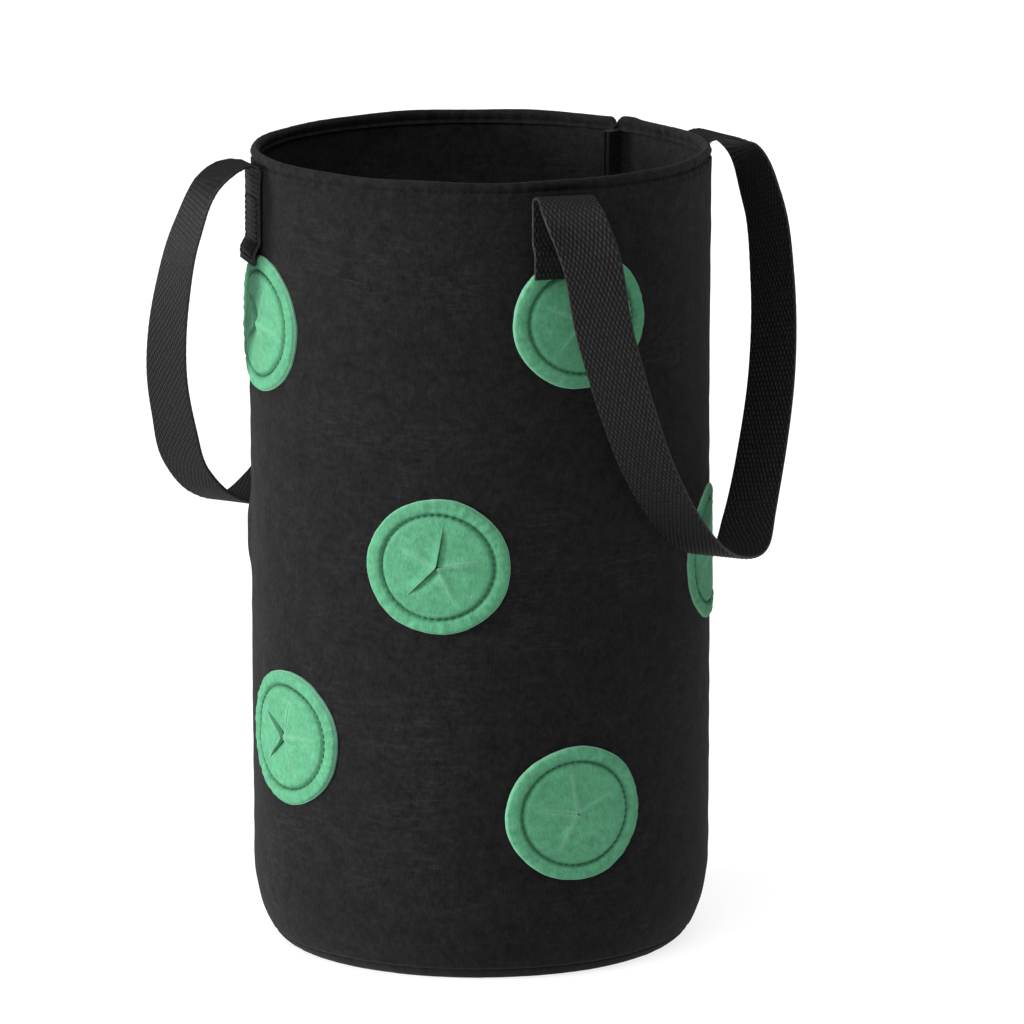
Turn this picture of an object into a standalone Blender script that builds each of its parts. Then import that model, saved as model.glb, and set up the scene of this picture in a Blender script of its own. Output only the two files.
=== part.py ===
"""Fabric grow bag: a felt cylinder with slit planting ports and two webbing handles.

Metres, +Z up. The origin is the centre of the base's underside. Azimuth is measured about +Z
from -Y (the front) towards +X, so azimuth 90 is the right-hand side.
"""

import math

import bmesh
import bpy
from mathutils import Matrix, Vector

# Bag body
BAG_RADIUS = 0.100
BAG_HEIGHT = 0.350
FELT = 0.0025
CORNER_WIDTH = 0.0155
CORNER_HEIGHT = 0.037
CORNER_POWER = 1.09
FLAT_EDGE_RADIUS = 0.0835
WALL_CORNER_END = math.radians(58.5)
BASE_CORNER_START = math.radians(61.0)
BASE_CORNER_END = math.radians(86)
WALL_TOP = 0.3435
HEM_BOTTOM = 0.344
HEM_THICKNESS = 0.005
WALL_STEPS = 64
BASE_STEPS = 48
WALL_CORNER_POINTS = 6
BASE_CORNER_POINTS = 4
HEM_FOLD_POINTS = 7
# Small turn along the bottom corner over which its slope is taken
CORNER_TURN_STEP = 0.01

# Seams on the inside
SEAM_AZIMUTH = math.radians(142)
SEAM_WIDTH = 0.005
SEAM_DEPTH = 0.008
SEAM_BOTTOM = 0.039
SEAM_OUTER_RADIUS = 0.097
BASE_SEAM_INNER = 0.0835
BASE_SEAM_OUTER = 0.0872
BASE_SEAM_BOTTOM = 0.0054
BASE_SEAM_TOP = 0.012

# Planting ports
# The discs are a little wider than they are high
DISC_HALF_WIDTH = 0.0314
DISC_HALF_HEIGHT = 0.0293
DISC_FELT = 0.0024
DISC_INNER_FACE = 0.1004
STAR_RADIUS = 0.0192
SLITS = 5
SECTOR = 2 * math.pi / SLITS
HOLE_RADIUS = 0.021
HOLE_DEPTH = 0.03
HOLE_SEGMENTS = 24
DISC_SEGMENTS = 30
# Distances from a flap's hinge line at which its width is set, the last one being its blunt tip
FLAP_DEPTHS = (0.0, 0.0015, 0.004, 0.008, 0.011, 0.0137)
FLAP_GAP = 0.0003
# As a flap swings, its outer face leads its hinge line by up to this much towards its neighbours
FLAP_LEAD = 0.0038
FLAP_HINGE_DISTANCE = STAR_RADIUS * math.cos(SECTOR / 2) - FLAP_GAP
FLAP_HINGE_REACH = 0.01
# Half the width of the small opening in which the slits of a whole disc meet
STAR_CENTRE = 0.0006

# Handles: webbing folded over at each end and sewn to the outside of the wall
WEBBING_WIDTH = 0.025
WEBBING = 0.0015
HANDLE_MIDDLE = math.radians(62)
FRONT_FOLD = math.radians(19.5)
RIGHT_REAR_FOLD = math.radians(110.5)
LEFT_REAR_FOLD = math.radians(104.5)
TAB_INNER_FACE = 0.1004
FOLD_RADIUS = 0.0022
FOLD_TURNS = (math.radians(25), math.radians(125))
# A front tab lies over the edge of a port's disc, so its lower part stands further out. These
# are heights above its lower end
TAB_LIFT = 0.0030
TAB_LIFT_END = 0.010
TAB_LIFT_START = 0.016
# Each tab: heights of its lower end and of its fold, and how far its lower end stands off
TABS = {
    "right_handle_tab_front": (0.3085, 0.3402, TAB_LIFT),
    "right_handle_tab_rear": (0.3085, 0.3455, 0.0),
    "left_handle_tab_rear": (0.3085, 0.3428, 0.0),
    "left_handle_tab_front": (0.3033, 0.3428, TAB_LIFT),
}
TAB_STEPS = 10
FOLD_STEPS = 5
# Where each handle swings: outwards from the bag's axis, and height
HANDLE_AXIS_OUT = 0.081
HANDLE_AXIS_HEIGHT = 0.347
LOOP_GAP = 0.020
LOOP_STEPS = 56
# Small share of a handle's route over which its direction is taken
SHARE_STEP = 0.004
RIGHT_TWIST_POWER = 0.45
LEFT_TWIST_POWER = 0.86

# Each port: name, azimuth and height of its centre, direction of one slit, and whether its
# five flaps are hinged parts. A port that isn't hinged is one disc with the same five slits.
PORTS = (
    ("port_1", -69.6, 0.2780, -7, True),
    ("port_2", 25.8, 0.2891, 13, True),
    ("port_3", -10.5, 0.1839, 9, True),
    ("port_4", 80.8, 0.1745, 50, True),
    ("port_5", -55.8, 0.1001, 5, True),
    ("port_6", 24.2, 0.0745, 27, True),
    ("port_7", -121.5, 0.1780, 20, True),
    ("port_8", 121.2, 0.2765, 60, False),
    ("port_9", -154.2, 0.2755, 35, False),
    ("port_10", 172.0, 0.1800, 0, False),
    ("port_11", 122.3, 0.0930, 15, False),
    ("port_12", -146.0, 0.0880, 45, False),
)

# The route that each handle's webbing hangs in, from its front fold to its rear fold: along the
# chord between the folds, outwards from the bag's axis, and height.
RIGHT_ROUTE = (
    (-0.069, 0.077, 0.3403), (-0.087, 0.090, 0.3405), (-0.090, 0.100, 0.323),
    (-0.085, 0.104, 0.292), (-0.074, 0.109, 0.257), (-0.058, 0.112, 0.227),
    (-0.039, 0.115, 0.203), (-0.019, 0.117, 0.187), (0.001, 0.117, 0.180),
    (0.021, 0.116, 0.179), (0.042, 0.110, 0.189), (0.060, 0.107, 0.214),
    (0.076, 0.104, 0.248), (0.088, 0.098, 0.286), (0.094, 0.090, 0.319),
    (0.0935, 0.0785, 0.3425), (0.0775, 0.0685, 0.3458),
)
LEFT_ROUTE = (
    (-0.069, 0.077, 0.343), (-0.088, 0.086, 0.342), (-0.092, 0.096, 0.320),
    (-0.086, 0.104, 0.288), (-0.074, 0.108, 0.255), (-0.056, 0.111, 0.225),
    (-0.038, 0.113, 0.203), (-0.019, 0.117, 0.188), (0.000, 0.121, 0.182),
    (0.018, 0.125, 0.188), (0.036, 0.127, 0.203), (0.055, 0.122, 0.226),
    (0.075, 0.114, 0.255), (0.089, 0.103, 0.289), (0.093, 0.093, 0.319),
    (0.088, 0.084, 0.341), (0.069, 0.077, 0.343),
)

# Points closer than this are joined
SAME_POINT = 0.00001
# Surfaces that meet at less than these angles are shaded as one round surface
SMOOTH_ANGLE = math.radians(40)
WEBBING_SMOOTH_ANGLE = math.radians(60)

FELT_ROUGHNESS = 0.95
WEBBING_ROUGHNESS = 0.7
BLACK_FELT = (0.035, 0.035, 0.037)
GREEN_FELT = (0.075, 0.40, 0.20)
BLACK_WEBBING = (0.025, 0.025, 0.027)


def clear_scene():
    for old in list(bpy.data.objects):
        bpy.data.objects.remove(old)


def make_collection(name):
    collection = bpy.data.collections.new(name)
    bpy.context.scene.collection.children.link(collection)
    return collection


def make_material(name, colour, roughness):
    material = bpy.data.materials.new(name)
    material.use_nodes = True
    shader = material.node_tree.nodes["Principled BSDF"]
    shader.inputs["Base Color"].default_value = (*colour, 1.0)
    shader.inputs["Roughness"].default_value = roughness
    shader.inputs["Metallic"].default_value = 0.0
    return material


def add_object(name, bm, collection, colour, roughness=FELT_ROUGHNESS):
    """A named object from a bmesh, with a material of its own."""
    mesh = bpy.data.meshes.new(name)
    bm.to_mesh(mesh)
    bm.free()
    part = bpy.data.objects.new(name, mesh)
    collection.objects.link(part)
    mesh.materials.append(make_material(name, colour, roughness))
    return part


def shade_round(part, angle=SMOOTH_ANGLE):
    part.data.shade_smooth()
    part.data.set_sharp_from_angle(angle=angle)


def turned(name, profile, steps, closed, collection, colour):
    """A turned piece from (radius, height) points that run down its outer side."""
    bm = bmesh.new()
    points = [bm.verts.new((radius, 0, height)) for radius, height in profile]
    for first, second in zip(points, points[1:]):
        bm.edges.new((first, second))
    if closed:
        bm.edges.new((points[-1], points[0]))
    part = add_object(name, bm, collection, colour)
    screw = part.modifiers.new("turn", "SCREW")
    screw.axis = "Z"
    screw.angle = 2 * math.pi
    screw.steps = steps
    screw.render_steps = steps
    screw.use_merge_vertices = True
    screw.merge_threshold = SAME_POINT
    screw.use_smooth_shade = True
    return part


def solidify(part, thickness, offset):
    """Gives an open sheet its thickness: offset 1 grows it along its normals, -1 against them."""
    shell = part.modifiers.new("thickness", "SOLIDIFY")
    shell.thickness = thickness
    shell.offset = offset
    shell.use_even_offset = True


def corner_point(turn):
    """A point on the outside of the rounded bottom corner, from the wall (0) to the base (90)."""
    radius = BAG_RADIUS - CORNER_WIDTH + CORNER_WIDTH * math.cos(turn) ** CORNER_POWER
    height = CORNER_HEIGHT - CORNER_HEIGHT * math.sin(turn) ** CORNER_POWER
    return Vector((radius, height))


def corner_side(turn, depth):
    """A point at a depth inside the rounded bottom corner's outer surface."""
    low = max(turn - CORNER_TURN_STEP, 0.0)
    high = min(turn + CORNER_TURN_STEP, math.pi / 2 - CORNER_TURN_STEP / 10)
    along = (corner_point(high) - corner_point(low)).normalized()
    return corner_point(turn) + Vector((along.y, -along.x)) * depth


def spread(start, end, count):
    return [start + (end - start) * i / (count - 1) for i in range(count)]


def on_wall(azimuth, height, across, up, radius):
    """The point on a cylinder about the bag's axis, a distance across and up from a centre."""
    angle = azimuth + across / BAG_RADIUS
    return Vector((radius * math.sin(angle), -radius * math.cos(angle), height + up))


def wall_panel(parts, cutters):
    """The side of the bag, with the round holes behind the ports."""
    turns = spread(0.0, WALL_CORNER_END, WALL_CORNER_POINTS)
    outside = [(BAG_RADIUS, WALL_TOP)] + [tuple(corner_point(turn)) for turn in turns]
    inside = [tuple(corner_side(turn, FELT)) for turn in reversed(turns)]
    inside += [(BAG_RADIUS - FELT, WALL_TOP)]
    wall = turned("wall_panel", outside + inside, WALL_STEPS, True, parts, BLACK_FELT)
    for name, azimuth, height, _, _ in PORTS:
        cutter = port_cutter(name, math.radians(azimuth), height, cutters)
        cut = wall.modifiers.new(name + "_hole", "BOOLEAN")
        cut.operation = "DIFFERENCE"
        cut.object = cutter
    return wall


def port_cutter(name, azimuth, height, cutters):
    """A short cylinder that points outwards from the bag's axis."""
    bm = bmesh.new()
    bmesh.ops.create_cone(
        bm,
        cap_ends=True,
        segments=HOLE_SEGMENTS,
        radius1=HOLE_RADIUS,
        radius2=HOLE_RADIUS,
        depth=HOLE_DEPTH,
    )
    turn = Matrix.Rotation(azimuth, 4, "Z") @ Matrix.Rotation(math.pi / 2, 4, "X")
    place = Matrix.Translation(on_wall(azimuth, height, 0, 0, BAG_RADIUS))
    bmesh.ops.transform(bm, matrix=place @ turn, verts=bm.verts)
    cutter = add_object(name + "_cutter", bm, cutters, BLACK_FELT)
    cutter.hide_render = True
    cutter.display_type = "WIRE"
    return cutter


def base_panel(parts):
    """The round bottom, flat in the middle, whose edge turns up to meet the wall."""
    turns = spread(BASE_CORNER_START, BASE_CORNER_END, BASE_CORNER_POINTS)
    upper = [(0.0, FELT), (FLAT_EDGE_RADIUS, FELT)]
    upper += [tuple(corner_side(turn, FELT)) for turn in reversed(turns)]
    lower = [tuple(corner_point(turn)) for turn in turns] + [(FLAT_EDGE_RADIUS, 0.0), (0.0, 0.0)]
    return turned("base_panel", upper + lower, BASE_STEPS, False, parts, BLACK_FELT)


def base_seam(parts):
    """The seam allowances of wall and base, sewn together and standing inside the corner."""
    profile = [
        (BASE_SEAM_OUTER, BASE_SEAM_TOP),
        (BASE_SEAM_OUTER, BASE_SEAM_BOTTOM),
        (BASE_SEAM_INNER, BASE_SEAM_BOTTOM),
        (BASE_SEAM_INNER, BASE_SEAM_TOP),
    ]
    return turned("base_seam", profile, BASE_STEPS, True, parts, BLACK_FELT)


def rim_hem(parts):
    """The top edge, folded over to the inside and stitched down."""
    half = HEM_THICKNESS / 2
    middle = BAG_RADIUS - half
    fold = [
        (middle + half * math.cos(turn), BAG_HEIGHT - half + half * math.sin(turn))
        for turn in spread(math.pi, 0.0, HEM_FOLD_POINTS)
    ]
    profile = fold + [(middle + half, HEM_BOTTOM), (middle - half, HEM_BOTTOM)]
    return turned("rim_hem", profile, BASE_STEPS, True, parts, BLACK_FELT)


def wall_seam(parts):
    """The wall's two edges, turned inwards and sewn together from base to rim."""
    bm = bmesh.new()
    bmesh.ops.create_cube(bm, size=1.0)
    height = WALL_TOP - SEAM_BOTTOM
    size = Matrix.Diagonal((SEAM_WIDTH, SEAM_DEPTH, height, 1.0))
    out = Vector((0, -(SEAM_OUTER_RADIUS - SEAM_DEPTH / 2), SEAM_BOTTOM + height / 2))
    place = Matrix.Rotation(SEAM_AZIMUTH, 4, "Z") @ Matrix.Translation(out)
    bmesh.ops.transform(bm, matrix=place @ size, verts=bm.verts)
    return add_object("wall_seam", bm, parts, BLACK_FELT)


def pentagon_radius(direction, slit_direction):
    """Distance from a port's centre to the line between the ends of two slits."""
    within = (direction - slit_direction) % SECTOR - SECTOR / 2
    return STAR_RADIUS * math.cos(SECTOR / 2) / math.cos(within)


def slit_outline(direction, slit_direction):
    """A point on the edge of five closed slits that meet at a port's centre.

    Going once round the port, the edge runs from one slit's end to the centre and out along the
    next slit, five times over.
    """
    steps = (direction - slit_direction) / SECTOR
    nearest = round(steps)
    share = steps - nearest
    slit_end = Vector((STAR_RADIUS, 0))
    between = Vector((math.cos(SECTOR / 2), math.sin(SECTOR / 2))) * STAR_CENTRE
    point = slit_end.lerp(between, 2 * abs(share))
    if share < 0:
        point.y = -point.y
    turn = Matrix.Rotation(slit_direction + nearest * SECTOR, 2)
    return turn @ point


def port_disc(name, azimuth, height, slit_direction, hinged, parts):
    """The green felt disc: a ring around the flaps, or a whole disc with five closed slits."""
    rows = 1 if hinged else 2
    bm = bmesh.new()
    bmesh.ops.create_grid(bm, x_segments=DISC_SEGMENTS, y_segments=rows, size=0.5)
    for vert in bm.verts:
        turn = slit_direction + (vert.co.x + 0.5) * 2 * math.pi
        outwards = vert.co.y + 0.5
        ray = Vector((math.cos(turn), math.sin(turn)))
        if hinged:
            inner = ray * pentagon_radius(turn, slit_direction)
        else:
            inner = slit_outline(turn, slit_direction)
        rim = Vector((ray.x * DISC_HALF_WIDTH, ray.y * DISC_HALF_HEIGHT))
        flat = inner.lerp(rim, outwards)
        vert.co = on_wall(azimuth, height, flat.x, flat.y, DISC_INNER_FACE)
    bmesh.ops.remove_doubles(bm, verts=bm.verts, dist=SAME_POINT)
    face_outwards(bm)
    disc = add_object(name + "_disc", bm, parts, GREEN_FELT)
    solidify(disc, DISC_FELT, 1.0)
    shade_round(disc)
    return disc


def face_outwards(bm):
    """Turns every face of an open sheet on the wall away from the bag's axis."""
    bm.normal_update()
    for face in bm.faces:
        middle = face.calc_center_median()
        if face.normal.dot(Vector((middle.x, middle.y, 0))) < 0:
            face.normal_flip()


def flap_half_width(depth):
    """Half a flap's width at a distance from its hinge line, clear of its neighbours' swing."""
    lead = math.hypot(FLAP_LEAD, depth) - depth
    slit_gap = lead * math.sin(SECTOR / 2) + FLAP_GAP / 2
    sector_half_width = (FLAP_HINGE_DISTANCE - depth) * math.tan(SECTOR / 2)
    return sector_half_width - slit_gap / math.cos(SECTOR / 2)


def port_flap(name, number, azimuth, height, slit_direction, parts):
    """One of the five pointed flaps between the slits, hinged along its outer side."""
    out = slit_direction + SECTOR * (number + 0.5)
    away = Vector((math.cos(out), math.sin(out)))
    along = Vector((-away.y, away.x))
    rows = len(FLAP_DEPTHS) - 1
    bm = bmesh.new()
    bmesh.ops.create_grid(bm, x_segments=2, y_segments=rows, size=0.5)
    for vert in bm.verts:
        depth = FLAP_DEPTHS[round((vert.co.y + 0.5) * rows)]
        sideways = vert.co.x * 2 * flap_half_width(depth)
        flat = away * (FLAP_HINGE_DISTANCE - depth) + along * sideways
        vert.co = on_wall(azimuth, height, flat.x, flat.y, DISC_INNER_FACE)
    face_outwards(bm)
    flap = add_object(f"{name}_flap_{number + 1}", bm, parts, GREEN_FELT)
    solidify(flap, DISC_FELT, 1.0)
    ends = [
        away * FLAP_HINGE_DISTANCE + along * reach
        for reach in (-FLAP_HINGE_REACH, FLAP_HINGE_REACH)
    ]
    ends = [on_wall(azimuth, height, end.x, end.y, DISC_INNER_FACE) for end in ends]
    hinge_middle = (ends[0] + ends[1]) / 2
    flap.data.transform(Matrix.Translation(-hinge_middle))
    flap.location = hinge_middle
    return flap


def ports(parts):
    for name, azimuth, height, slit_direction, hinged in PORTS:
        centre = math.radians(azimuth)
        slit = math.radians(slit_direction)
        port_disc(name, centre, height, slit, hinged, parts)
        if hinged:
            for number in range(SLITS):
                port_flap(name, number, centre, height, slit, parts)


def smooth_step(value):
    value = min(max(value, 0.0), 1.0)
    return value * value * (3 - 2 * value)


def tab_radius(above_end, lift):
    """How far out the sewn tab's inner face is, with its lower part lifted off the wall."""
    lifted = smooth_step((TAB_LIFT_START - above_end) / (TAB_LIFT_START - TAB_LIFT_END))
    return TAB_INNER_FACE + lift * lifted


def handle_tab(name, azimuth, parts):
    """The end of the webbing: sewn flat to the wall, with the start of the fold at its top."""
    end_height, fold_height, lift = TABS[name]
    heights = spread(end_height, fold_height, TAB_STEPS)
    line = [(tab_radius(height - end_height, lift), height) for height in heights]
    outer_bend = FOLD_RADIUS + WEBBING
    for turn in spread(*FOLD_TURNS, FOLD_STEPS):
        radius = TAB_INNER_FACE + outer_bend * (1 - math.cos(turn))
        line.append((radius, fold_height + outer_bend * math.sin(turn)))
    bm = bmesh.new()
    bmesh.ops.create_grid(bm, x_segments=4, y_segments=len(line) - 1, size=0.5)
    for vert in bm.verts:
        radius, height = line[round((vert.co.y + 0.5) * (len(line) - 1))]
        vert.co = on_wall(azimuth, height, vert.co.x * WEBBING_WIDTH, 0, radius)
    bm.normal_update()
    bm.faces.ensure_lookup_table()
    lowest = min(bm.faces, key=lambda face: face.calc_center_median().z)
    middle = lowest.calc_center_median()
    if lowest.normal.dot(Vector((middle.x, middle.y, 0))) < 0:
        bmesh.ops.reverse_faces(bm, faces=bm.faces)
    tab = add_object(name, bm, parts, BLACK_WEBBING, WEBBING_ROUGHNESS)
    solidify(tab, WEBBING, 1.0)
    shade_round(tab, WEBBING_SMOOTH_ANGLE)
    return tab


def route_point(route, share):
    """A point on the smooth curve through a route's points, which are evenly shared out."""
    last = len(route) - 1
    place = min(max(share, 0.0), 1.0) * last
    index = min(int(place), last - 1)
    step = place - index
    near = [Vector(route[min(max(index + k, 0), last)]) for k in (-1, 0, 1, 2)]
    slope_in = (near[2] - near[0]) / 2
    slope_out = (near[3] - near[1]) / 2
    ahead = near[2] - near[1]
    bend = 3 * ahead - 2 * slope_in - slope_out
    close = slope_in + slope_out - 2 * ahead
    return near[1] + step * (slope_in + step * (bend + step * close))


def handle_loop(name, route, middle, folds, twist_power, parts):
    """The free loop of webbing between the two folds' azimuths, which twists as it hangs."""
    out = Vector((math.sin(middle), -math.cos(middle), 0))
    along = Vector((math.cos(middle), math.sin(middle), 0))
    up = Vector((0, 0, 1))

    def world(share):
        point = route_point(route, share)
        return along * point.x + out * point.y + up * point.z

    first_share = 1 / (len(route) - 1)
    end_share = first_share * LOOP_GAP / (world(first_share) - world(0.0)).length
    bm = bmesh.new()
    bmesh.ops.create_grid(bm, x_segments=2, y_segments=LOOP_STEPS, size=0.5)
    for vert in bm.verts:
        share = end_share + (vert.co.y + 0.5) * (1 - 2 * end_share)
        tangent = (world(share + SHARE_STEP) - world(share - SHARE_STEP)).normalized()
        twist = 1 - (1 - abs(2 * share - 1)) ** twist_power
        if share < 0.5:
            most = folds[0] - middle + math.pi / 2
        else:
            most = folds[1] - middle - math.pi / 2
        turn = middle - math.pi / 2 + twist * most
        width = Vector((math.cos(turn), math.sin(turn), 0))
        width = (width - tangent * width.dot(tangent)).normalized()
        vert.co = world(share) + width * (vert.co.x * WEBBING_WIDTH)
    bmesh.ops.recalc_face_normals(bm, faces=bm.faces)
    loop = add_object(name, bm, parts, BLACK_WEBBING, WEBBING_ROUGHNESS)
    solidify(loop, WEBBING, 0.0)
    shade_round(loop, WEBBING_SMOOTH_ANGLE)
    axis_point = out * HANDLE_AXIS_OUT + up * HANDLE_AXIS_HEIGHT
    loop.data.transform(Matrix.Translation(-axis_point))
    loop.location = axis_point
    return loop


def handles(parts):
    left = math.pi
    right_folds = (FRONT_FOLD, RIGHT_REAR_FOLD)
    left_folds = (FRONT_FOLD + left, LEFT_REAR_FOLD + left)
    for name, azimuth in zip(TABS, right_folds + left_folds):
        handle_tab(name, azimuth, parts)
    handle_loop(
        "right_handle_loop", RIGHT_ROUTE, HANDLE_MIDDLE, right_folds, RIGHT_TWIST_POWER, parts
    )
    handle_loop(
        "left_handle_loop", LEFT_ROUTE, HANDLE_MIDDLE + left, left_folds, LEFT_TWIST_POWER, parts
    )


def main():
    clear_scene()
    parts = make_collection("fabric_grow_bag")
    cutters = make_collection("cutters")
    wall_panel(parts, cutters)
    base_panel(parts)
    base_seam(parts)
    rim_hem(parts)
    wall_seam(parts)
    ports(parts)
    handles(parts)


main()
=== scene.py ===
"""Looks of a fabric grow bag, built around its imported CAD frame.

Metres, +Z up. The origin is the centre of the base's underside. Azimuth is measured about +Z
from -Y (the front) towards +X, so azimuth 90 is the right-hand side.
"""

import math

import bpy
import numpy as np
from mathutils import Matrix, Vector


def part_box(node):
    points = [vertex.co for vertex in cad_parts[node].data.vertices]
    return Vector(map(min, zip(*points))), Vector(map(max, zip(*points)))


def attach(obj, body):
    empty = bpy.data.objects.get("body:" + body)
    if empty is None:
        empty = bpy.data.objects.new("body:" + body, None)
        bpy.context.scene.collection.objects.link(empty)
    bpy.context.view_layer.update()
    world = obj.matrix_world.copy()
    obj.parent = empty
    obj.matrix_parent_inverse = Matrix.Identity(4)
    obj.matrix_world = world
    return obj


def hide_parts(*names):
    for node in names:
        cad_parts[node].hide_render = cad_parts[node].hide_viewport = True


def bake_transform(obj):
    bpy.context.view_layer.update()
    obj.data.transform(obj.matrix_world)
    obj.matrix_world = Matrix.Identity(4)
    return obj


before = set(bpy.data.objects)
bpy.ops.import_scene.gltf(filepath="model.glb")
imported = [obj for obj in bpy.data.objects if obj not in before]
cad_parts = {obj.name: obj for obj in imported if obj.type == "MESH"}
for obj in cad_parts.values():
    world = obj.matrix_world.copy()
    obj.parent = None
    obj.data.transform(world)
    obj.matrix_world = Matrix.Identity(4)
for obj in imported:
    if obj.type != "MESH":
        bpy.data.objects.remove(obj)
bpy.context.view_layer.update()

MM = 0.001
# Faces that meet at more than this angle are shaded with a crisp edge between them
SHARP_ANGLE = math.radians(55)

# Bag body
BAG_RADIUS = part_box("wall_panel")[1].x
BAG_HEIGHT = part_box("rim_hem")[1].z
FELT = 2.5 * MM
CORNER_WIDTH = 15.5 * MM
CORNER_HEIGHT = 37 * MM
CORNER_POWER = 1.09
BASE_SEAM_TURN = math.radians(59.7)
FOOT_GROOVE = 0.3 * MM
# The base's flat cloth, and the seam inside the foot
BASE_SEAM_RADII = (83.5 * MM, 87.2 * MM)
BASE_SEAM_HEIGHTS = (5.4 * MM, 12 * MM)
WALL_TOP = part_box("wall_panel")[1].z
WALL_COLUMNS = 284
WALL_CELL = 2 * math.pi * BAG_RADIUS / WALL_COLUMNS

# Hem: the top edge is folded inwards and sewn
HEM_INNER = 96.3 * MM
HEM_STITCH = BAG_HEIGHT - 4.3 * MM
HEM_GROOVE = 1.0 * MM
HEM_INSIDE_BOTTOM = BAG_HEIGHT - 6.0 * MM
STITCH = 3.0 * MM
STITCH_LENGTH = 0.86 * STITCH
THREAD = 0.28 * MM

# The cloth swells out a little on the left-hand side, in front of a port
BULGE = 1.8 * MM
BULGE_AZIMUTH = math.radians(-89)
BULGE_HEIGHT = 180 * MM

# The wall's seam, sewn with both edges turned inwards
SEAM_AZIMUTH = math.radians(142)
SEAM_DEPTH = 8 * MM
SEAM_WIDTH = 5 * MM
NOTCH_DEPTH = 3.2 * MM
NOTCH_WIDTH = 1.7 * MM

# Planting ports. The discs are a little wider than they are high
DISC_HALF_WIDTH = 31.4 * MM
DISC_HALF_HEIGHT = 29.3 * MM
DISC_RADIUS = (DISC_HALF_WIDTH + DISC_HALF_HEIGHT) / 2
DISC_FELT = 2.1 * MM
# The underside of each disc, just inside the wall's outer face
DISC_UNDERSIDE = -0.05 * MM
STAR_RADIUS = 19.2 * MM
HOLE_RADIUS = 21 * MM
# Round each hole the wall's grid gives way to rings, over this many cells each way
HOLE_REACH = 12
HOLE_RINGS = 7
# The ring of stitches, as a share of the way from the middle of the disc to its edge
STITCH_SHARE = 0.775
SECTOR = math.radians(72)
HINGE_DISTANCE = STAR_RADIUS * math.cos(SECTOR / 2)
SECTOR_STEPS = 40
DISC_STITCHES = 48
DISC_STITCH_LENGTH = 2.6 * MM
PORT_SEED = 40
# Beside each slit: how high and how wide its ridges are, and how far a slack side sinks
RIDGE = 0.72 * MM
RIDGE_WIDTH = 1.9 * MM
LEAN = 1.65 * MM
LEAN_WIDTH = 2.7 * MM

# Each port: direction of one slit, and how far the cloth beside each of its five slits has
# sunk on one side, from 0, where both sides stand up in a ridge, to 1. It has sunk on the
# clockwise side where the number is positive, and on the other where it is negative
PORTS = {
    "port_1": (-7, (0.0, 0.05, 0.8, -0.8, -0.1)),
    "port_2": (13, (0.1, 0.1, 0.0, -0.2, 0.0)),
    "port_3": (9, (0.0, 0.9, 0.0, -0.9, 0.05)),
    "port_4": (50, (0.0, 0.1, 0.0, -0.3, 0.0)),
    "port_5": (5, (0.0, 0.1, 0.8, -0.8, -0.1)),
    "port_6": (27, (0.05, 0.0, 0.1, 0.0, -0.2)),
    "port_7": (20, (0.1, 0.0, -0.4, 0.0, 0.0)),
    "port_8": (60, (0.0, 0.3, 0.0, 0.0, -0.1)),
    "port_9": (35, (0.4, 0.0, 0.0, -0.3, 0.0)),
    "port_10": (0, (0.0, 0.7, 0.0, -0.5, 0.0)),
    "port_11": (15, (-0.3, 0.0, 0.1, 0.0, 0.0)),
    "port_12": (45, (0.0, 0.0, 0.4, 0.0, -0.1)),
}
# Ports whose disc lies flatter than the others
SETTLED = {"port_4": 1.0 * MM}
HINGED_PORTS = [name for name in PORTS if name + "_flap_1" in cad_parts]

# Handles
WEBBING_WIDTH = 25 * MM
WEBBING = 1.5 * MM
WEAVE_ACROSS = WEBBING_WIDTH / 13
WEAVE_ALONG = 4.4 * MM
WEAVE_DEPTH = 0.45 * MM
SAMPLES_ACROSS = 5
SAMPLES_ALONG = 7
SELVEDGE = 0.7 * MM
HANDLE_MIDDLE = math.radians(62)
TAB_INNER_FACE = 100.3 * MM
FOLD_BEND = 2.95 * MM
# Each tab: azimuth, height of its lower end, height of its fold, and how far its lower part
# stands off the wall below and above which heights
TABS = {
    "right_handle_tab_front": (19.5, 308.5, 340.2, 2.9, 318.5, 324.5),
    "right_handle_tab_rear": (110.5, 308.5, 345.5, 0.0, 310.0, 320.0),
    "left_handle_tab_rear": (199.5, 308.5, 342.8, 0.0, 310.0, 320.0),
    "left_handle_tab_front": (284.5, 303.3, 342.8, 2.3, 308.0, 313.0),
}
# The box of stitches on each tab: from and to how far above its lower end, how far from its
# sides, and its stitches
TAB_BOX = (3.0 * MM, 29 * MM)
TAB_BOX_INSET = 2.6 * MM
TAB_STITCH = 2.4 * MM
TAB_STITCH_LENGTH = 2.1 * MM
# Each handle's webbing is cut into its tab pieces and its loop near this distance from the bag's
# axis
BEND_END = 122.5 * MM

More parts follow.
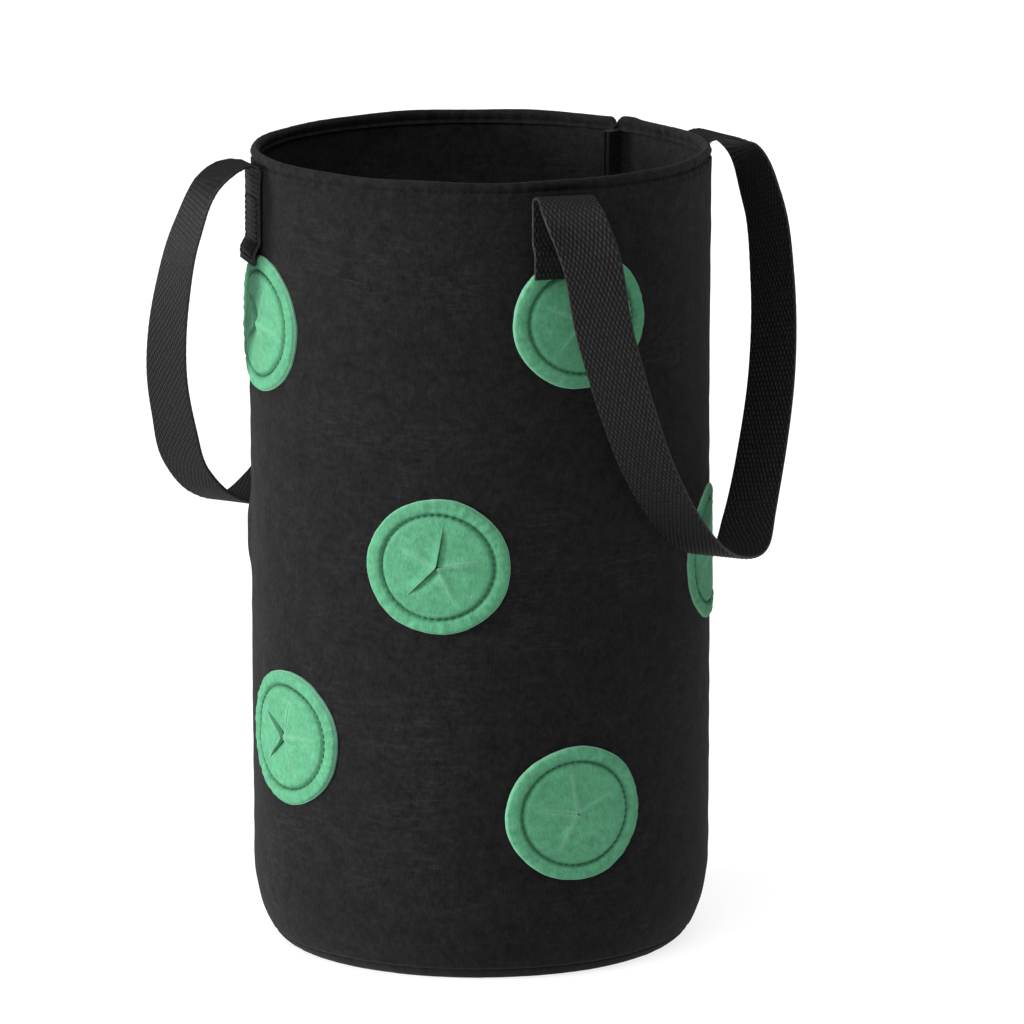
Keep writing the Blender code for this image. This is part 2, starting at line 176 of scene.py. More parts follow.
# Where each handle's webbing hangs, from its front fold to its rear fold: along the chord
# between the folds, outwards from the bag's axis, and height
RIGHT_ROUTE = (
    (-0.069, 0.077, 0.3403), (-0.087, 0.090, 0.3405), (-0.090, 0.100, 0.323),
    (-0.085, 0.104, 0.292), (-0.074, 0.109, 0.257), (-0.058, 0.112, 0.227),
    (-0.039, 0.115, 0.203), (-0.019, 0.117, 0.187), (0.001, 0.117, 0.180),
    (0.021, 0.116, 0.179), (0.042, 0.110, 0.189), (0.060, 0.107, 0.214),
    (0.076, 0.104, 0.248), (0.088, 0.098, 0.286), (0.094, 0.090, 0.319),
    (0.0935, 0.0785, 0.3425), (0.0775, 0.0685, 0.3458),
)
LEFT_ROUTE = (
    (-0.069, 0.077, 0.343), (-0.088, 0.086, 0.342), (-0.092, 0.096, 0.320),
    (-0.086, 0.104, 0.288), (-0.074, 0.108, 0.255), (-0.056, 0.111, 0.225),
    (-0.038, 0.113, 0.203), (-0.019, 0.117, 0.188), (0.000, 0.121, 0.182),
    (0.018, 0.125, 0.188), (0.036, 0.127, 0.203), (0.055, 0.122, 0.226),
    (0.075, 0.114, 0.255), (0.089, 0.103, 0.289), (0.093, 0.093, 0.319),
    (0.088, 0.084, 0.341), (0.069, 0.077, 0.343),
)
RIGHT_TWIST = 0.45
LEFT_TWIST = 0.86

# Camera: far off with a long lens, a little above the bag
CAMERA_DISTANCE = 4.0
CAMERA_ELEVATION = math.radians(11.7)
CAMERA_LENS = 322.0
CAMERA_SHIFT = (0.031, 0.028)
LOOK_AT = Vector((0, 0, 0.175))

# Studio: each light's azimuth, elevation and angular width in degrees, and its strength
LIGHTS = {
    "overhead": (0, 90, 75, 1.2),
    "window": (-80, 7, 20, 5.4),
    "front": (-27, 46, 60, 2.3),
}
SKY_STRENGTH = 0.22
FLOOR_SIZE = 24.0
FLOOR_GLOW = 0.80


# ---- the wall's own shape


def waves(seed, count, around, up, height):
    """Random gentle waves, (turns around, turns per metre up, phase, height) each."""
    random = np.random.default_rng(seed)
    made = []
    for _ in range(count):
        turns = random.integers(around[0], around[1])
        rise = random.uniform(-up, up)
        phase = random.uniform(0, 2 * math.pi)
        made.append((turns, rise, phase, height * random.uniform(0.5, 1.0)))
    return made


SWELLS = waves(3, 8, (2, 9), 45, 0.16 * MM)
RIPPLES = waves(5, 14, (10, 50), 520, 0.035 * MM)
PUCKERS = waves(8, 9, (38, 110), 40, 0.10 * MM)
RIM_WAVES = waves(11, 5, (2, 14), 0, 0.22 * MM)


def sum_of(wave_set, turn, height):
    total = 0
    for turns, rise, phase, size in wave_set:
        total = total + size * np.sin(turns * turn + rise * height + phase)
    return total


def bell(distance, width):
    return np.exp(-((distance / width) ** 2))


def smooth_step(value):
    value = np.clip(value, 0.0, 1.0)
    return value * value * (3 - 2 * value)


def round_from(azimuth, turn):
    """Distance around the bag from an azimuth."""
    away = (turn - azimuth + math.pi) % (2 * math.pi) - math.pi
    return away * BAG_RADIUS


def wall_wave(turn, height):
    """How far the cloth stands proud of the plain cylinder."""
    near_hem = np.exp(-np.abs(HEM_STITCH - height) / (7 * MM))
    near_base = np.exp(-np.abs(height - 6 * MM) / (9 * MM))
    soft = sum_of(SWELLS, turn, height) + sum_of(RIPPLES, turn, height)
    gathered = sum_of(PUCKERS, turn, height) * (near_hem + 0.8 * near_base)
    crease = -1.1 * MM * bell(round_from(SEAM_AZIMUTH, turn), 1.6 * MM)
    bulge = bell(round_from(BULGE_AZIMUTH, turn), 6 * MM)
    bulge = bulge * np.exp(-(((height - BULGE_HEIGHT) / (14 * MM)) ** 4))
    return soft + gathered + crease + BULGE * bulge


def round_axis(radius, turn, level):
    """Points at a distance from the bag's axis, an azimuth and a height."""
    return np.stack([radius * np.sin(turn), -radius * np.cos(turn), level], axis=-1)


def on_wall(azimuth, height, across, up, lift):
    """Points near the wall: across and up along it from a place, and lifted off it."""
    turn = azimuth + across / BAG_RADIUS
    level = height + up
    radius = BAG_RADIUS + wall_wave(turn, level) + lift
    return round_axis(radius, turn, level + 0 * radius)


# ---- meshes


def grid_quads(rows, columns, closed=False):
    """The quads of a grid of points, numbered row by row."""
    count = columns if closed else columns - 1
    row = np.arange(rows - 1)[:, None] * columns
    here = np.arange(count)[None, :]
    after = (here + 1) % columns
    corners = [row + here, row + after, row + columns + after, row + columns + here]
    return np.stack(corners, axis=-1).reshape(-1, 4)


def open_edges(quads):
    """The edges that only one face uses, in that face's direction."""
    edges = np.concatenate([quads[:, [k, (k + 1) % quads.shape[1]]] for k in range(4)])
    known = set(map(tuple, edges.tolist()))
    return np.array([edge for edge in edges.tolist() if (edge[1], edge[0]) not in known])


def new_piece(name, points, faces, material, **attributes):
    """A smooth mesh object. Each attribute holds a number or a vector for every point."""
    mesh = bpy.data.meshes.new(name)
    mesh.from_pydata(points.reshape(-1, 3).tolist(), [], faces)
    for key, values in attributes.items():
        values = np.asarray(values, np.float32)
        single = values.size == len(mesh.vertices)
        layer = mesh.attributes.new(key, "FLOAT" if single else "FLOAT_VECTOR", "POINT")
        layer.data.foreach_set("value" if single else "vector", values.ravel())
    mesh.materials.append(material)
    mesh.shade_smooth()
    mesh.set_sharp_from_angle(angle=SHARP_ANGLE)
    piece = bpy.data.objects.new(name, mesh)
    bpy.context.scene.collection.objects.link(piece)
    return piece


def slab(name, top, bottom, material, closed=False, **attributes):
    """A sheet of cloth with thickness, between two grids of points, its edges closed."""
    rows, columns = top.shape[:2]
    count = rows * columns
    upper = grid_quads(rows, columns, closed)
    rim = open_edges(upper)
    sides = np.stack([rim[:, 1], rim[:, 0], rim[:, 0] + count, rim[:, 1] + count], axis=-1)
    faces = np.concatenate([upper, upper[:, ::-1] + count, sides])
    points = np.concatenate([top.reshape(-1, 3), bottom.reshape(-1, 3)])
    doubled = {key: np.concatenate([value, value]) for key, value in attributes.items()}
    return new_piece(name, points, faces.tolist(), material, **doubled)


def cloth_place(across, up):
    """Where each point lies on its flat cloth, which the materials' patterns follow."""
    across, up = np.broadcast_arrays(across, up)
    return np.stack([across, up, 0 * up], axis=-1).reshape(-1, 3)


def stitches(name, middles, forwards, outwards, length, material):
    """A row of stitches, each a short arched thread whose ends dip into the cloth."""
    sides, shares = 6, np.linspace(-1, 1, 7)
    forwards, outwards = unit(forwards), unit(outwards)
    crosswise = np.cross(forwards, outwards)
    turns = np.arange(sides) * 2 * math.pi / sides
    points = []
    for share in shares:
        along = middles + forwards * (share * length / 2)
        along = along + outwards * THREAD * (0.9 - 1.9 * share**4)
        radius = THREAD * (1 - 0.6 * share**6)
        for turn in turns:
            around = outwards * math.cos(turn) + crosswise * math.sin(turn)
            points.append(along + around * radius)
    points = np.stack(points, axis=1)
    ring = grid_quads(len(shares), sides, closed=True)
    caps = [list(range(sides)), list(range(len(shares) * sides - sides, len(shares) * sides))]
    size = points.shape[1]
    faces = []
    for number in range(len(middles)):
        start = number * size
        faces += (ring[:, ::-1] + start).tolist()
        faces.append([index + start for index in caps[0]])
        faces.append([index + start for index in reversed(caps[1])])
    return new_piece(name, points, faces, material)


def unit(vectors):
    return vectors / np.linalg.norm(vectors, axis=-1, keepdims=True)


def along_line(places, run, points):
    """Points at some lengths along a line of points."""
    return np.stack([np.interp(places, run, points[:, k]) for k in range(3)], axis=-1)


def spaced_line(points, pitch):
    """Evenly spaced places on a line of points, with the direction at each."""
    steps = np.linalg.norm(np.diff(points, axis=0), axis=1)
    length = np.concatenate([[0], np.cumsum(steps)])
    count = max(2, round(length[-1] / pitch))
    places = (np.arange(count) + 0.5) * length[-1] / count
    along = along_line(places, length, points)
    ahead = along_line(places + pitch / 9, length, points)
    return along, ahead - along


def sewn(name, line, pitch, length, material, facing=1, outwards=None):
    """Stitches along a line on the bag. They face away from its axis, or outwards if given."""
    middles, forwards = spaced_line(line, pitch)
    if outwards is None:
        outwards = middles * np.array([1.0, 1.0, 0.0])
    outwards = np.broadcast_to(outwards * facing, middles.shape)
    thread = stitches(name, middles, forwards, outwards, length, material)
    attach(thread, "bag")
    return thread


# ---- materials


class Nodes:
    """Shorthand for building one material's node tree."""

    def __init__(self, name):
        self.material = bpy.data.materials.new(name)
        self.material.use_nodes = True
        self.tree = self.material.node_tree
        self.shader = self.tree.nodes["Principled BSDF"]

    def add(self, kind, **settings):
        node = self.tree.nodes.new("ShaderNode" + kind)
        for key, value in settings.items():
            setattr(node, key, value)
        return node

    def link(self, source, target):
        self.tree.links.new(source, target)

    def attribute(self, name, output="Vector"):
        return self.add("Attribute", attribute_name=name).outputs[output]

    def stretched(self, vector, scale, turn=0.0):
        node = self.add("Mapping")
        node.inputs["Scale"].default_value = scale
        node.inputs["Rotation"].default_value = (0, 0, math.radians(turn))
        self.link(vector, node.inputs["Vector"])
        return node.outputs["Vector"]

    def noise(self, vector, scale, detail=3.0, roughness=0.55, distortion=0.0):
        node = self.add("TexNoise")
        node.inputs["Scale"].default_value = scale
        node.inputs["Detail"].default_value = detail
        node.inputs["Roughness"].default_value = roughness
        node.inputs["Distortion"].default_value = distortion
        self.link(vector, node.inputs["Vector"])
        return node.outputs["Fac"]

    def math(self, operation, first, second=None):
        node = self.add("Math", operation=operation)
        for socket, value in zip(node.inputs, (first, second)):
            if value is None:
                continue
            if isinstance(value, (int, float)):
                socket.default_value = value
            else:
                self.link(value, socket)
        return node.outputs["Value"]

    def ramp(self, factor, stops):
        node = self.add("ValToRGB")
        elements = node.color_ramp.elements
        while len(elements) < len(stops):
            elements.new(0.5)
        for element, (place, colour) in zip(elements, stops):
            element.position = place
            element.color = (*colour, 1.0)
        self.link(factor, node.inputs["Fac"])
        return node.outputs["Color"]

    def mix(self, factor, first, second):
        node = self.add("Mix", data_type="RGBA")
        for key, value in ((0, factor), (6, first), (7, second)):
            if isinstance(value, tuple):
                node.inputs[key].default_value = (*value, 1.0)
            else:
                self.link(value, node.inputs[key])
        return node.outputs[2]

    def bump(self, height, distance, strength=1.0, normal=None):
        node = self.add("Bump")
        node.inputs["Distance"].default_value = distance
        node.inputs["Strength"].default_value = strength
        self.link(height, node.inputs["Height"])
        if normal is not None:
            self.link(normal, node.inputs["Normal"])
        return node.outputs["Normal"]

    def finish(self, **sockets):
        for key, value in sockets.items():
            socket = self.shader.inputs[key.replace("_", " ")]
            if isinstance(value, (int, float)):
                socket.default_value = value
            elif isinstance(value, tuple):
                socket.default_value = (*value, 1.0)
            else:
                self.link(value, socket)
        return self.material


WHITE = (1.0, 1.0, 1.0)


def scaled(colour, by):
    return tuple(part * by for part in colour)


def felt_material(name, colour, streak_and_highlight_colour, contrast, sheen_streaks, sheen):
    """Needle-felt: crossing fibres over soft mottling, with pale fibre streaks partly painted as
    sheen, a painted highlight along cut edges and ridges, and painted shade in grooves.
    """
    nodes = Nodes(name)
    place = nodes.attribute("cloth")
    fibres = None
    for turn, scale in ((28, 1500), (-41, 1250), (6, 1600)):
        run = nodes.stretched(place, (1.0, 0.22, 1.0), turn)
        layer = nodes.noise(run, scale, detail=2.0, roughness=0.6, distortion=0.6)
        fibres = layer if fibres is None else nodes.math("MAXIMUM", fibres, layer)
    mottle = nodes.noise(place, 330, detail=4.0, roughness=0.7)
    clouds = nodes.noise(place, 110, detail=3.0, roughness=0.6)
    wisps = nodes.noise(
        nodes.stretched(place, (0.20, 1.0, 1.0), -4), 620, detail=3.0, roughness=0.6, distortion=0.9
    )
    patches = nodes.noise(place, 24, detail=1.0)
    patches = nodes.ramp(patches, [(0.45, (0, 0, 0)), (0.65, (1, 1, 1))])
    tone = nodes.math("MULTIPLY", fibres, 0.42)
    tone = nodes.math("ADD", tone, nodes.math("MULTIPLY", mottle, 0.40))
    tone = nodes.math("ADD", tone, nodes.math("MULTIPLY", clouds, 0.24))
    low, high = scaled(colour, 1 - contrast), scaled(colour, 1 + contrast * 1.2)
    cloth = nodes.ramp(tone, [(0.44, low), (0.57, colour), (0.70, high)])
    # Pale fibre streaks: partly the felt's own paler fibres, partly painted sheen
    streaks_and_sheen = nodes.ramp(wisps, [(0.50, (0, 0, 0)), (0.72, (1, 1, 1))])
    streaks_and_sheen = nodes.math("MULTIPLY", nodes.math("MULTIPLY", streaks_and_sheen, patches), sheen_streaks)
    cloth = nodes.mix(streaks_and_sheen, cloth, streak_and_highlight_colour)
    # Painted highlight along cut edges and slit ridges, where the attribute edge is high
    edge = nodes.attribute("edge", "Fac")
    cloth = nodes.mix(nodes.math("MULTIPLY", edge, 0.7), cloth, streak_and_highlight_colour)
    # Painted shade in the discs' rings of stitches and over the wall's seam ridge, where the
    # attribute groove is high
    groove = nodes.math("MULTIPLY", nodes.attribute("groove", "Fac"), 0.55)
    cloth = nodes.mix(groove, cloth, scaled(colour, 0.3))
    coarse = nodes.bump(mottle, 0.45 * MM, 0.9)
    fine = nodes.bump(fibres, 0.25 * MM, 0.9, coarse)
    return nodes.finish(
        Base_Color=cloth,
        Roughness=0.9,
        Specular_IOR_Level=0.05,
        Sheen_Weight=sheen,
        Sheen_Roughness=0.45,
        Normal=fine,
    )


def webbing_material(name):
    """Black polypropylene webbing: glossy ribbed yarns, duller between them, with a painted
    highlight on the yarn tops and painted shade between them.
    """
    nodes = Nodes(name)
    place = nodes.attribute("cloth")
    weave = nodes.attribute("weave", "Fac")
    strands = nodes.noise(
        nodes.stretched(place, (1.0, 0.08, 1.0)), 5200, detail=1.0, roughness=0.5
    )
    # Random variation in the brightness of the painted highlight on the yarn tops
    highlight_variation = nodes.noise(place, 420, detail=3.0, roughness=0.65)
    high = nodes.ramp(highlight_variation, [(0.32, (0.011, 0.011, 0.0115)), (0.72, (0.038, 0.037, 0.039))])
    # Yarn tops painted lighter as a highlight, the cloth between them painted near black as shade
    top = nodes.math("POWER", weave, 3.0)
    colour = nodes.mix(top, (0.0022, 0.0022, 0.0023), high)
    gloss = nodes.math("SUBTRACT", 0.70, nodes.math("MULTIPLY", strands, 0.30))
    fine = nodes.bump(strands, 0.10 * MM, 0.8)
    return nodes.finish(
        Base_Color=colour,
        Roughness=gloss,
        Specular_IOR_Level=0.10,
        Normal=fine,
    )


def thread_material(name, colour):
    """Twisted sewing thread."""
    nodes = Nodes(name)
    where = nodes.add("TexCoord").outputs["Object"]
    twist = nodes.noise(where, 3800, detail=1.0)
    cloth = nodes.ramp(twist, [(0.35, scaled(colour, 0.6)), (0.65, scaled(colour, 1.5))])
    fine = nodes.bump(twist, 0.08 * MM, 0.8)
    return nodes.finish(
        Base_Color=cloth, Roughness=0.7, Specular_IOR_Level=0.08, Normal=fine
    )


def floor_material():
    """A pale matt floor, lit from beneath like a light table so that it stays free of shadows."""
    nodes = Nodes("studio_floor")
    where = nodes.add("TexCoord").outputs["Object"]
    grain = nodes.noise(where, 9, detail=2.0)
    colour = nodes.ramp(grain, [(0.3, scaled(WHITE, 0.30)), (0.7, scaled(WHITE, 0.32))])
    return nodes.finish(
        Base_Color=colour,
        Roughness=0.9,
        Specular_IOR_Level=0.1,
        Emission_Color=WHITE,
        Emission_Strength=FLOOR_GLOW,
    )


BLACK_FELT = felt_material(
    "black_felt", (0.0082, 0.0080, 0.0084), (0.036, 0.035, 0.037), 0.55, 0.26, 0.03
)
GREEN_FELT = felt_material(
    "green_felt", (0.066, 0.228, 0.124), (0.15, 0.32, 0.22), 0.25, 0.12, 0.05
)
BLACK_WEBBING = webbing_material("black_webbing")
BLACK_THREAD = thread_material("black_thread", (0.0055, 0.0055, 0.006))
PORT_THREAD = thread_material("port_thread", (0.020, 0.095, 0.052))


# ---- bag body


def part_of_bag(piece, node):
    """The piece rides on the bag and takes the place of one CAD node."""
    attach(piece, "bag")
    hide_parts(node)
    return piece


def thicken(piece):
    """The felt's thickness, inwards from a modelled outer face."""
    shell = piece.modifiers.new("thickness", "SOLIDIFY")
    shell.thickness = FELT
    shell.offset = -1.0


def port_place(name):
    """Azimuth and height of a port's centre, from the middle of its CAD disc."""
    corners = np.array([v.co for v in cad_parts[name + "_disc"].data.vertices])
    height = (corners[:, 2].min() + corners[:, 2].max()) / 2
    middle = corners[:, :2].mean(axis=0)
    turn = math.atan2(middle[0], -middle[1])
    away = np.arctan2(corners[:, 0], -corners[:, 1]) - turn
    away = (away + math.pi) % (2 * math.pi) - math.pi
    return turn + (away.min() + away.max()) / 2, height


def corner_profile(turns):
    """Radius and height on the outside of the rounded foot, from the wall (0) to the base."""
    radius = BAG_RADIUS - CORNER_WIDTH + CORNER_WIDTH * np.cos(turns) ** CORNER_POWER
    height = CORNER_HEIGHT - CORNER_HEIGHT * np.sin(turns) ** CORNER_POWER
    return radius, height


def wall_rows():
    """Radius and height of each row of the wall, from the base seam up to the hem."""
    turns = np.linspace(BASE_SEAM_TURN, 0, 26)
    radius, height = corner_profile(turns)
    radius[0] -= FOOT_GROOVE
    count = round((WALL_TOP - CORNER_HEIGHT) / WALL_CELL)
    upper = np.linspace(CORNER_HEIGHT, WALL_TOP, count + 1)[1:]
    radius = np.concatenate([radius, np.full(len(upper), BAG_RADIUS)])
    return radius, np.concatenate([height, upper])


def square_outline(low, left, span):
    """The row and column of each point of a grid round a square, from its lower left."""
    steps = range(span)
    outline = [(low, left + step) for step in steps]
    outline += [(low + step, left + span) for step in steps]
    outline += [(low + span, left + span - step) for step in steps]
    outline += [(low + span - step, left) for step in steps]
    return outline


def wall():
    """The felt wall, one sheet from seam to seam, with a round hole behind each port."""
    radius, height = wall_rows()
    columns = WALL_COLUMNS + 1
    turn = SEAM_AZIMUTH + np.linspace(0, 2 * math.pi, columns)
    place = np.stack(np.meshgrid(turn, height), axis=-1).reshape(-1, 2)
    base = np.repeat(radius, columns)
    quads = grid_quads(len(height), columns)
    kept = np.ones(len(quads), bool)
    extra_places, extra_quads, made = [], [], len(place)
    first_upper = np.searchsorted(height, CORNER_HEIGHT) + 1
    size = np.array([BAG_RADIUS, 1.0])
    span = 2 * HOLE_REACH
    for name in PORTS:
        azimuth, middle = port_place(name)
        away = (azimuth - SEAM_AZIMUTH) % (2 * math.pi)
        left = round(away / (turn[1] - turn[0])) - HOLE_REACH
        low = first_upper + round((middle - height[first_upper]) / WALL_CELL) - HOLE_REACH
        for row in range(low, low + span):
            first = row * WALL_COLUMNS + left
            kept[first : first + span] = False
        corners = square_outline(low, left, span)
        outline = np.array([row * columns + column for row, column in corners])
        centre = np.array([SEAM_AZIMUTH + away, middle])
        spokes = (place[outline] - centre) * size
        circle = spokes / np.linalg.norm(spokes, axis=1, keepdims=True) * HOLE_RADIUS
        previous = outline
        for ring in range(1, HOLE_RINGS + 1):
            flat = spokes + (circle - spokes) * ring / HOLE_RINGS
            extra_places.append(centre + flat / size)
            current = made + np.arange(len(outline))
            made += len(outline)
            after, ahead = np.roll(previous, -1), np.roll(current, -1)
            extra_quads.append(np.stack([previous, after, ahead, current], axis=-1))
            previous = current
    place = np.concatenate([place] + extra_places)
    base = np.concatenate([base, np.full(len(place) - len(base), BAG_RADIUS)])
    quads = np.concatenate([quads[kept]] + extra_quads)
    out = base + wall_wave(place[:, 0], place[:, 1])
    points = round_axis(out, place[:, 0], place[:, 1])
    cloth = cloth_place(place[:, 0] * BAG_RADIUS, place[:, 1])
    piece = new_piece("wall_felt", points, quads.tolist(), BLACK_FELT, cloth=cloth)
    thicken(piece)
    return part_of_bag(piece, "wall_panel")


def rim_height(turn):
    """How far the rim stands above or below its usual height."""
    away = round_from(SEAM_AZIMUTH, turn)
    notch = -NOTCH_DEPTH * bell(away, NOTCH_WIDTH)
    lip = 1.0 * MM * bell(away + 7 * MM, 7 * MM)
    return sum_of(RIM_WAVES, turn, 0) + notch + lip


def hem():
    """The top edge: the felt folds over inwards, held by a row of stitches."""
    columns = 640
    turn = SEAM_AZIMUTH + np.linspace(0, 2 * math.pi, columns, endpoint=False)
    thick = BAG_RADIUS - HEM_INNER
    over = np.linspace(0, math.pi, 13)
    bend = 2.1 * MM
    section = [(0.0, WALL_TOP), (0.0, WALL_TOP + 1.1 * MM)]
    section += [(-HEM_GROOVE * 0.6, HEM_STITCH - 0.6 * MM), (-HEM_GROOVE, HEM_STITCH)]
    section += [(-HEM_GROOVE * 0.6, HEM_STITCH + 0.6 * MM)]
    for angle in over:
        inwards = thick / 2 * (1 - math.cos(angle)) - 0.15 * MM * math.cos(angle)
        section.append((-inwards, BAG_HEIGHT - bend + bend * math.sin(angle)))
    section += [(-thick + HEM_GROOVE * 0.5, HEM_STITCH + 0.5 * MM)]
    section += [(-thick + HEM_GROOVE * 0.8, HEM_STITCH)]
    section += [(-thick + HEM_GROOVE * 0.2, HEM_STITCH - 0.9 * MM)]
    section += [(-thick, HEM_INSIDE_BOTTOM + 0.3 * MM), (-thick + 0.4 * MM, HEM_INSIDE_BOTTOM)]
    section += [(-thick + 2.2 * MM, HEM_INSIDE_BOTTOM), (-FELT, WALL_TOP), (0.0, WALL_TOP)]
    inwards, height = np.array(section).T
    share = smooth_step((height - WALL_TOP) / (BAG_HEIGHT - WALL_TOP))
    level = height[:, None] + share[:, None] * rim_height(turn)[None, :]
    radius = BAG_RADIUS + inwards[:, None] + wall_wave(turn[None, :], height[:, None])
    points = round_axis(radius, turn[None, :], level)
    run = np.cumsum(np.hypot(np.diff(inwards, prepend=0), np.diff(height, prepend=WALL_TOP)))
    cloth = cloth_place(turn[None, :] * BAG_RADIUS, WALL_TOP + run[:, None])
    faces = grid_quads(len(section), columns, closed=True)
    piece = new_piece("hem_felt", points, faces.tolist(), BLACK_FELT, cloth=cloth)
    part_of_bag(piece, "rim_hem")
    around = np.linspace(0, 2 * math.pi, 1200)
    share = smooth_step((HEM_STITCH - WALL_TOP) / (BAG_HEIGHT - WALL_TOP))
    for side, depth, facing in (("outside", HEM_GROOVE, 1), ("inside", thick - HEM_GROOVE, -1)):
        lift = -depth - facing * THREAD / 2
        line = on_wall(around, HEM_STITCH, 0, share * rim_height(around), lift)
        sewn(f"hem_thread_{side}", line, STITCH, STITCH_LENGTH, BLACK_THREAD, facing)
    return piece


def base():
    """The base: a round of felt whose edge turns up to the wall."""
    columns = 240
    turns = np.linspace(math.radians(86), BASE_SEAM_TURN, 9)
    radius, height = corner_profile(turns)
    radius[-1] -= FOOT_GROOVE
    flat = np.linspace(0.4 * MM, radius[0] - 1 * MM, 34)
    radius = np.concatenate([flat, radius])
    height = np.concatenate([0 * flat, height])
    turn = np.linspace(0, 2 * math.pi, columns, endpoint=False)
    out, round_it = np.meshgrid(radius, turn, indexing="ij")
    level = np.repeat(height[:, None], columns, axis=1)
    edge = smooth_step((out - 70 * MM) / (20 * MM))
    out = out + wall_wave(round_it, level) * edge
    level = level + 0.35 * MM * (1 + np.sin(3 * round_it + out * 90)) * (1 - edge)
    points = round_axis(out, round_it, level)
    cloth = cloth_place(points[..., 0], points[..., 1])
    faces = grid_quads(len(radius), columns, closed=True)
    centre = [list(range(columns))[::-1]]
    piece = new_piece("base_felt", points, faces.tolist() + centre, BLACK_FELT, cloth=cloth)
    thicken(piece)
    return part_of_bag(piece, "base_panel")


def wall_seam():
    """The two turned-in edges of the wall, which stand inwards as one thick ridge."""
    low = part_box("wall_seam")[0].z
    rows = 120
    height = np.linspace(low, HEM_INSIDE_BOTTOM + 0.5 * MM, rows)
    half, deep = SEAM_WIDTH / 2, SEAM_DEPTH
    section = [(half, 0), (half, deep * 0.4), (half * 0.97, deep * 0.8), (half * 0.8, deep)]
    section += [(half * 0.35, deep * 1.02), (0, deep * 0.9), (-half * 0.35, deep * 1.0)]
    section += [(-half * 0.8, deep * 0.97), (-half * 0.97, deep * 0.8)]
    section += [(-half, deep * 0.4), (-half, 0)]
    across, inwards = np.array(section).T
    lean = 0.9 * MM * np.sin(height * 34) + 0.5 * MM * np.sin(height * 97 + 1)
    squeeze = 1 - 0.06 * np.sin(height * 410) - 0.05 * np.sin(height * 263 + 2)
    sideways = across[None, :] * squeeze[:, None] + lean[:, None] * inwards[None, :] / deep
    turn = SEAM_AZIMUTH + sideways / BAG_RADIUS
    radius = BAG_RADIUS - FELT - 0.2 * MM - inwards[None, :] + 0 * sideways
    level = np.repeat(height[:, None], len(section), axis=1)
    points = round_axis(radius, turn, level)
    cloth = cloth_place(np.cumsum(np.abs(np.diff(inwards, prepend=0)))[None, :], level)
    columns = len(section)
    faces = grid_quads(rows, columns, closed=True).tolist()
    faces.append(list(range(columns))[::-1])
    faces.append(list(range(rows * columns - columns, rows * columns)))
    # Painted shade over the whole seam ridge
    painted_shade = np.ones(rows * columns)
    piece = new_piece("wall_seam_felt", points, faces, BLACK_FELT, cloth=cloth, groove=painted_shade)
    part_of_bag(piece, "wall_seam")
    outwards = np.array([math.cos(SEAM_AZIMUTH), math.sin(SEAM_AZIMUTH), 0])
    for side, place, facing in (("left", 1, 1), ("right", 9, -1)):
        sewn(
            f"wall_seam_thread_{side}", points[:, place], STITCH, STITCH_LENGTH, BLACK_THREAD,
            facing, outwards,
        )


def base_seam():
    """The turned-in edges of the wall and base, a thick ring inside the foot."""
    columns = 360
    inner, outer = BASE_SEAM_RADII
    low, high = BASE_SEAM_HEIGHTS
    turn = np.linspace(0, 2 * math.pi, columns, endpoint=False)
    section = [(outer, low), (outer, high - 1 * MM), (outer - 0.7 * MM, high)]
    section += [((inner + outer) / 2, high - 0.5 * MM), (inner + 0.7 * MM, high)]
    section += [(inner, high - 1 * MM), (inner, low)]
    radius, height = np.array(section).T
    ripple = 0.5 * MM * np.sin(31 * turn) + 0.3 * MM * np.sin(53 * turn + 1)
    share = (height - low) / (high - low)
    out = radius[:, None] + share[:, None] * ripple[None, :]
    level = height[:, None] + share[:, None] * 0.4 * MM * np.sin(19 * turn)[None, :]
    points = round_axis(out, turn, level)
    faces = grid_quads(len(section) + 1, columns, closed=True) % (len(section) * columns)
    run = np.arange(len(section)) * 2 * MM
    cloth = cloth_place(turn[None, :] * inner, run[:, None])
    piece = new_piece("base_seam_felt", points, faces.tolist(), BLACK_FELT, cloth=cloth)
    part_of_bag(piece, "base_seam")
    line = np.concatenate([points[5], points[5][:1]]) + np.array([0, 0, -1.5 * MM])
    sewn("base_seam_thread", line, STITCH, STITCH_LENGTH, BLACK_THREAD, facing=-1)


# ---- planting ports


def felt_edge(distance):
    """How much a cut edge rounds off, from 1 well inside the cloth to about half at the cut."""
    return 1 - 0.55 * bell(distance, 0.55 * MM)


def disc_share(x, y):
    """How far a place on a disc is from its middle, as a share of the way to its edge."""
    return np.hypot(x / DISC_HALF_WIDTH, y / DISC_HALF_HEIGHT)


def disc_groove(share):
    """How deep a place lies in the disc's ring of stitches, from 0 to 1."""
    return bell((share - STITCH_SHARE) * DISC_RADIUS, 1.0 * MM)


def disc_top(x, y, wobble):
    """The height of a port's disc above the wall, with its sunk ring of stitches."""
    share = disc_share(x, y)
    direction = np.arctan2(y / DISC_HALF_HEIGHT, x / DISC_HALF_WIDTH)
    groove = disc_groove(share)
    sunk = (1.15 * MM - 0.25 * MM * np.cos(DISC_STITCHES * direction)) * groove
    crown = 0.40 * MM * bell((share - 0.89) * DISC_RADIUS, 2.1 * MM)
    inner = 0.25 * MM * bell((share - 0.68) * DISC_RADIUS, 2.4 * MM)
    creases = np.sin(17 * direction + 1.3) + np.sin(29 * direction) + np.sin(43 * direction + 2)
    creases = 0.10 * MM * creases * smooth_step((share - 0.76) * 9)
    return DISC_FELT + crown + inner - sunk + creases + wobble


def disc_wobble(random, settled):
    """How uneven a disc is, and how far it has settled, as a function of the place on it."""
    terms = random.uniform(-1, 1, (4, 2)) * 130
    phases = random.uniform(0, 2 * math.pi, 4)

    def wobble(x, y):
        total = 0
        for (run, rise), phase in zip(terms, phases):
            total = total + np.sin(run * x + rise * y + phase)
        return total * 0.09 * MM - settled

    return wobble


